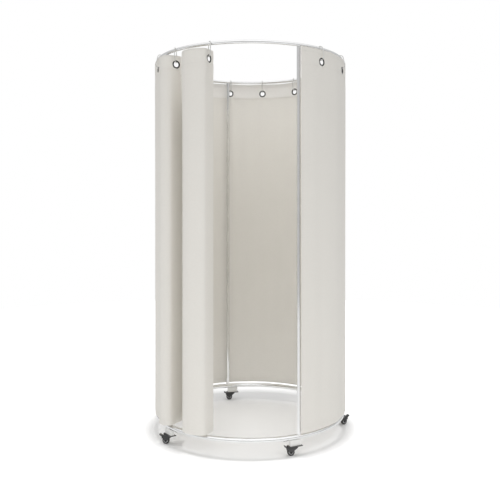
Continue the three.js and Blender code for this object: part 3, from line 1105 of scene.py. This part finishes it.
    def pleat(self, pleat: Pleat, shapes: tuple[Piece, Piece]) -> None:
        """Builds one pleat of the pushed-back curtain.

        Args:
            pleat: Which pleat.
            shapes: The eyelet and the loop that are copied.
        """
        name = pleat.value
        line = MID_LINE if pleat is Pleat.MID else LEAD_LINE
        plan = Plan.along(line.knots, line.edge, self.pleat_step)
        seat = line.eyelet()
        held = [plan.length - (plan.points[-1] - seat[0]).length]
        drape = Drape(
            held, sag=0.003, belly=0.0, ripple=0.0006, pinch=0.0008, valley=self.valley,
            valley_span=line.valley,
        )
        cloth, band = self.cloth(f"pleat_{name}", plan, drape, self.fold_top, [seat])
        for piece in (cloth, band):
            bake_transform(piece)
        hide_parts(f"curtain_fold_{name}")
        names = (f"pleat_{name}_eyelet", f"pleat_{name}_loop")
        ring, wire = self.fasten(names, shapes, seat, self.slide_gap, pleat.body)
        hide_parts(f"eyelet_{name}")
        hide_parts(f"curtain_loop_{name}")
        length = drape.full_length(plan)
        plan.length
        LOG.info("pleat %s: %.3f m of cloth, gathered to %.3f m at the header", name, length, plan.length)


# Casters


@dataclass
class Wheel:
    """Rounded tyre with a tread groove, and a hub with a raised boss."""

    radius: float = 0.0175
    half_width: float = 0.0075
    hub_radius: float = 0.0117
    bore: float = 0.0028

    def tyre(self) -> Piece:
        """Tyre about Z.

        Returns:
            The tyre.
        """
        inner = self.hub_radius + 0.0002
        outer = self.radius
        half = self.half_width
        side = [
            (inner, half - 0.0006), (inner + 0.0006, half), (inner + 0.0026, half),
            (outer - 0.0016, half - 0.0006), (outer - 0.0004, half - 0.002), (outer, half - 0.0036),
            (outer, 0.0006), (outer - 0.0004, 0.0),
        ]
        piece = turned("tyre", side + flipped(side[:-1]), 64)
        smooth(piece, 45)
        return piece

    def hub(self) -> Piece:
        """Hub about Z.

        Returns:
            The hub.
        """
        rim = self.hub_radius
        side = [
            (self.bore, 0.0072), (0.0052, 0.0072), (0.0056, 0.0068), (0.006, 0.0032), (0.0084, 0.0032),
            (0.0088, 0.0066), (0.0092, 0.007), (rim - 0.0004, 0.007), (rim, 0.0066),
        ]
        piece = turned("hub", side + flipped(side), 48)
        smooth(piece, 35)
        return piece


@dataclass
class Casters:
    """The four braked swivel casters."""

    wheel: Wheel = field(default_factory=Wheel)

    def build(self, frame: dict) -> None:
        """Replaces the wheels and dresses the rest.

        Args:
            frame: What the frame holds.
        """
        joints = {joint["name"]: joint for joint in frame["joints"]}
        tyre = self.wheel.tyre()
        hub = self.wheel.hub()
        for corner in CORNERS:
            joint = joints[f"wheel_{corner}"]
            place = facing(Vector(joint["pos_m"]), Vector(joint["axis"]).normalized())
            for part, name, finish in ((tyre, "tyre", RUBBER), (hub, "hub", HUB)):
                copy = twin(part, f"{name}_{corner}", place)
                dress(copy, finish)
                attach(copy, f"wheel_{corner}")
                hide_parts(f"caster_{name}_{corner}")
            for name, finish in CASTER_FINISHES:
                redress(frame["nodes"][f"{name}_{corner}"], finish)
            LOG.info("caster %s", corner)
        bpy.data.objects.remove(tyre)
        bpy.data.objects.remove(hub)


# Rings


@dataclass
class Rings:
    """The two tube rings, in four arcs each."""

    radius: float = RING_RADIUS
    top_height: float = TOP_RING_HEIGHT
    top_tube: float = TOP_TUBE_RADIUS
    base_height: float = 0.0845
    base_tube: float = 0.0125
    posts: tuple[float, ...] = (28.0, 92.8, 196.0, 303.0)
    seam: float = 12.0
    gap: float = 0.0003
    sides: int = 24
    step: float = 1.5

    def arc(self, name: str, tube: float, height: float, first: float, last: float) -> Piece:
        """One arc: a ring of edges is spun about the axis and closed at both ends.

        Args:
            name: Name of the piece.
            tube: Radius of the tube.
            height: Height of its middle.
            first: Angle of its start.
            last: Angle of its end.

        Returns:
            The arc.
        """
        deselect()
        bpy.ops.mesh.primitive_circle_add(
            vertices=self.sides, radius=tube, location=around(self.radius, first, height),
            rotation=(math.pi / 2, 0, math.radians(first) + math.pi / 2),
        )
        piece = current(name)
        settle(piece)
        bpy.ops.object.mode_set(mode="EDIT")
        bpy.ops.mesh.select_all(action="SELECT")
        bpy.ops.mesh.spin(
            steps=max(8, round((last - first) / self.step)), angle=math.radians(last - first),
            center=(0, 0, height), axis=(0, 0, -1), use_auto_merge=False,
        )
        bpy.ops.mesh.select_all(action="DESELECT")
        bpy.ops.mesh.select_non_manifold()
        bpy.ops.mesh.fill_holes(sides=0)
        bpy.ops.mesh.select_all(action="SELECT")
        bpy.ops.mesh.fill_holes(sides=0)
        bpy.ops.mesh.normals_make_consistent(inside=False)
        bpy.ops.object.mode_set(mode="OBJECT")
        smooth(piece, 40)
        return piece

    def build(self, frame: dict) -> None:
        """Builds the arcs and dresses the posts.

        Args:
            frame: What the frame holds.
        """
        rings = (("top", self.top_tube, self.top_height), ("base", self.base_tube, self.base_height))
        for ring, tube, height in rings:
            for index, post in enumerate(self.posts):
                after = self.posts[(index + 1) % 4] + (360 if index == 3 else 0)
                first = post + self.seam + math.degrees(self.gap / self.radius)
                piece = self.arc(f"{ring}_arc_{index + 1}", tube, height, first, after + self.seam)
                dress(piece, CHROME)
                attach(piece, "frame")
                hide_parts(f"{ring}_ring_arc_{index + 1}")
            LOG.info("%s ring", ring)
        for corner in CORNERS:
            redress(frame["nodes"][f"post_{corner}"], CHROME)


# Studio


@dataclass
class Studio:
    """Floor, lights and camera."""

    distance: float = 3.5
    eye: float = 1.142
    focal: float = 654 / 500 * 36
    shift: float = -0.0775
    floor_radius: float = 5.0
    floor_tone: float = 0.86
    glossy_tone: float = 0.97
    near_fade: Pair = (0.505, 0.6)
    far_fade: Pair = (0.62, 0.8)
    fade: float = 0.6
    sky: float = 1.24
    dim: float = 0.38
    behind: float = 0.6
    beside: float = 0.86
    mirrored: Pair = (0.35, 0.6)

    def floor(self) -> None:
        """Lays the pale floor. The camera sees it turn white round the ring, and further off behind it. That
        white is painted light: the floor glows for camera rays only, over the shadows round the ring, and
        not in the shade just behind it.
        """
        deselect()
        bpy.ops.mesh.primitive_circle_add(vertices=96, radius=self.floor_radius, fill_type="NGON")
        floor = current("floor")
        material = bpy.data.materials.new("pale_floor")
        material.use_nodes = True
        board = Board(material.node_tree)
        shader = material.node_tree.nodes["Principled BSDF"]
        place = board.put("ShaderNodeTexCoord").outputs["Object"]
        cloud = board.stretch(board.noise(place, 0.7, 3), (0, 1), (0, 0.15))
        path = board.put("ShaderNodeLightPath")
        # Painted reflection: the floor takes the lighter glossy_tone where it is seen in reflections, which
        # brightens what the chrome mirrors.
        mask = board.sum("MAXIMUM", cloud, path.outputs["Is Glossy Ray"])
        tone = board.blend(mask, (self.floor_tone,) * 3, (self.glossy_tone,) * 3)
        board.join(tone, shader.inputs["Base Color"])
        across, back, _ = board.split(place)
        away = board.put("ShaderNodeVectorMath", operation="LENGTH")
        board.join(place, away.inputs[0])
        # Painted light: from near_fade outwards the floor glows for camera rays, which whitens the shadows
        # round the ring; front and aside leave it unlit in the shade just behind the ring, and far lets it
        # glow again further off.
        near = board.stretch(away.outputs["Value"], self.near_fade, (0, self.fade))
        front = board.stretch(back, (0.3, 0.5), (1, 0))
        aside = board.stretch(board.sum("ABSOLUTE", across), (0.35, 0.5), (0, 1))
        near = board.sum("MULTIPLY", near, board.sum("MAXIMUM", front, aside))
        far = board.stretch(away.outputs["Value"], self.far_fade, (0, self.fade))
        glow = board.sum("MULTIPLY", board.sum("MAXIMUM", near, far), path.outputs["Is Camera Ray"])
        board.join(glow, shader.inputs["Emission Strength"])
        shader.inputs["Emission Color"].default_value = (1, 1, 1, 1)
        shader.inputs["Roughness"].default_value = 0.75
        floor.data.materials.append(material)

    def surroundings(self) -> None:
        """White surroundings for the camera, and a room that is dim near the horizon for everything else."""
        world = bpy.data.worlds.new("studio")
        world.use_nodes = True
        board = Board(world.node_tree)
        across, back, up = board.split(board.put("ShaderNodeTexCoord").outputs["Generated"])
        light = board.stretch(up, (0.22, 0.42), (self.dim, self.sky))
        light = board.sum("MULTIPLY", light, board.stretch(back, (-0.2, 0.6), (1, self.behind)))
        aside = board.sum("ABSOLUTE", across)
        light = board.sum("MULTIPLY", light, board.stretch(aside, (0.3, 1), (1, self.beside)))
        path = board.put("ShaderNodeLightPath")
        mirrored = board.stretch(back, (-0.97, -0.85), self.mirrored)
        light = board.sum("MAXIMUM", light, board.sum("MULTIPLY", mirrored, path.outputs["Is Glossy Ray"]))
        strength = board.sum("MAXIMUM", light, path.outputs["Is Camera Ray"])
        board.join(strength, world.node_tree.nodes["Background"].inputs["Strength"])
        world.node_tree.nodes["Background"].inputs["Color"].default_value = (1, 1, 1, 1)
        bpy.context.scene.world = world

    def lamp(
        self, name: str, place: Vector, aim: Vector, size: float, power: float, spread: float = 180,
    ) -> None:
        """Adds a square soft light.

        Args:
            name: Name of the light.
            place: Its place.
            aim: Point it faces.
            size: Its side.
            power: Its power.
            spread: Opening angle of its grid, in degrees.
        """
        data = bpy.data.lights.new(name, "AREA")
        data.size = size
        data.energy = power
        data.spread = math.radians(spread)
        lamp = bpy.data.objects.new(name, data)
        bpy.context.collection.objects.link(lamp)
        lamp.location = place
        lamp.visible_glossy = False
        lamp.rotation_euler = (aim - place).to_track_quat("-Z", "Y").to_euler()

    def build(self) -> None:
        """Sets up the studio."""
        self.floor()
        self.surroundings()
        self.lamp("key", Vector((-0.9, -3.7, 1.9)), Vector((0, 0, 0.9)), 1.4, 7)
        self.lamp("cabin", Vector((0, 0, 3.4)), Vector((0, 0, 0)), 0.5, 1.5, 36)
        data = bpy.data.cameras.new("camera")
        data.lens = self.focal
        data.sensor_width = 36
        data.shift_y = self.shift
        camera = bpy.data.objects.new("camera", data)
        bpy.context.collection.objects.link(camera)
        camera.location = (0, -self.distance, self.eye)
        camera.rotation_euler = (math.pi / 2, 0, 0)
        bpy.context.scene.camera = camera
        bpy.context.scene.view_settings.view_transform = "Standard"


def main() -> None:
    """Builds the scene in order."""
    logging.basicConfig(level=logging.INFO, format="%(name)s: %(message)s")
    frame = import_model()
    Studio().build()
    Rings().build(frame)
    Casters().build(frame)
    Curtain().build()


if __name__ == "__main__":
    main()
